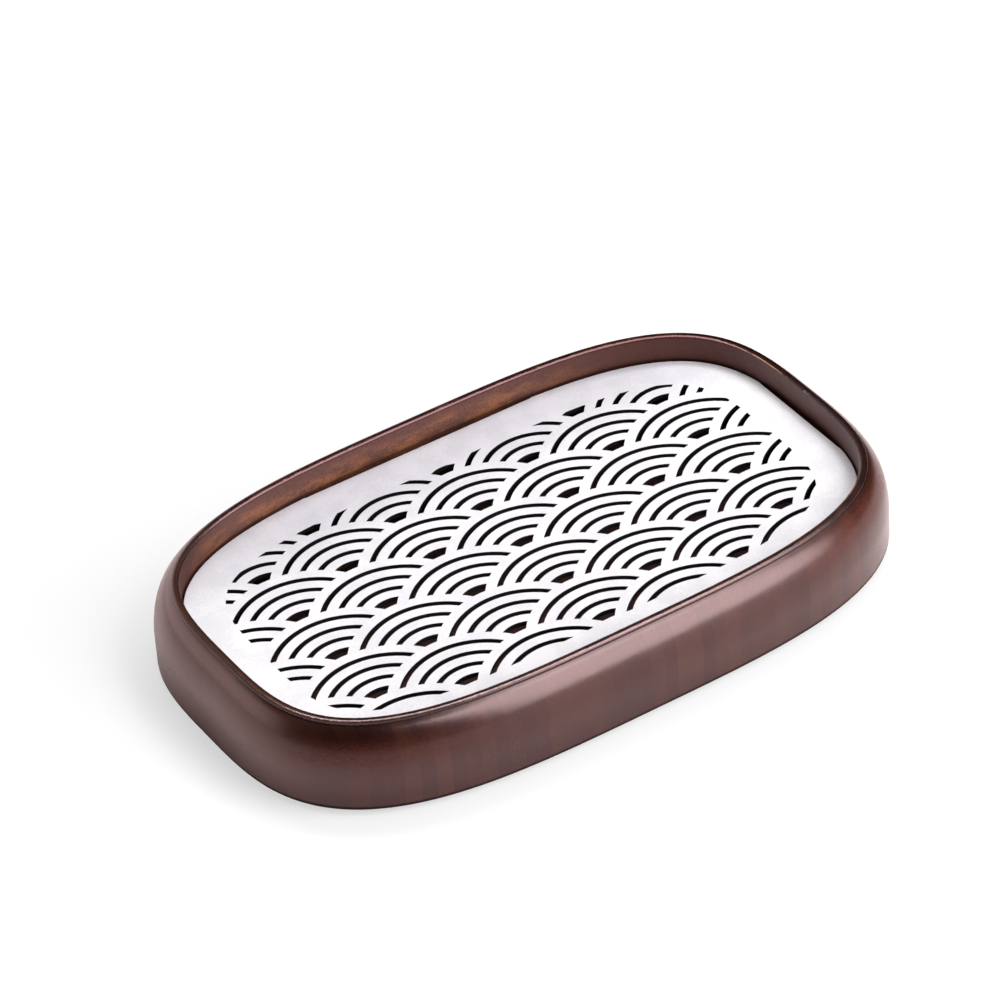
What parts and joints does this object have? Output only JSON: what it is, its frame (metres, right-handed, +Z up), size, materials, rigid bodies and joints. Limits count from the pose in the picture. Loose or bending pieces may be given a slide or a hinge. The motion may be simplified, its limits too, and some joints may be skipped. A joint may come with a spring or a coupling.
{
  "type": "gongfu tea tray",
  "caption": "Rounded tea tray: dark bamboo frame over a shallow drip reservoir, with a lift-out metal panel pierced by overlapping wave fans.",
  "frame": {"origin": "on the table under the centre of the tray, at the bottom of its feet", "axes": "+X along the tray, +Y to the back, where the waves open, +Z up"},
  "size_m": [0.27, 0.1646, 0.036],
  "materials": {
    "dark_bamboo": "satin lacquer over carbonised laminated bamboo",
    "bamboo_board": "satin lacquer over a thin laminated board",
    "panel_alloy": "fine matt silver",
    "foot_rubber": "matt"
  },
  "bodies": {
    "tray": {"bamboo_frame": "dark_bamboo", "base_board": "bamboo_board", "foot_front_left": "foot_rubber", "foot_front_right": "foot_rubber", "foot_back_left": "foot_rubber", "foot_back_right": "foot_rubber"},
    "panel": {"wave_panel": "panel_alloy"}
  },
  "joints": [
    {"name": "panel_lift", "type": "slide", "parent": "tray", "child": "panel", "axis": [0, 0, 1], "range_m": [0, 0.04]}
  ]
}
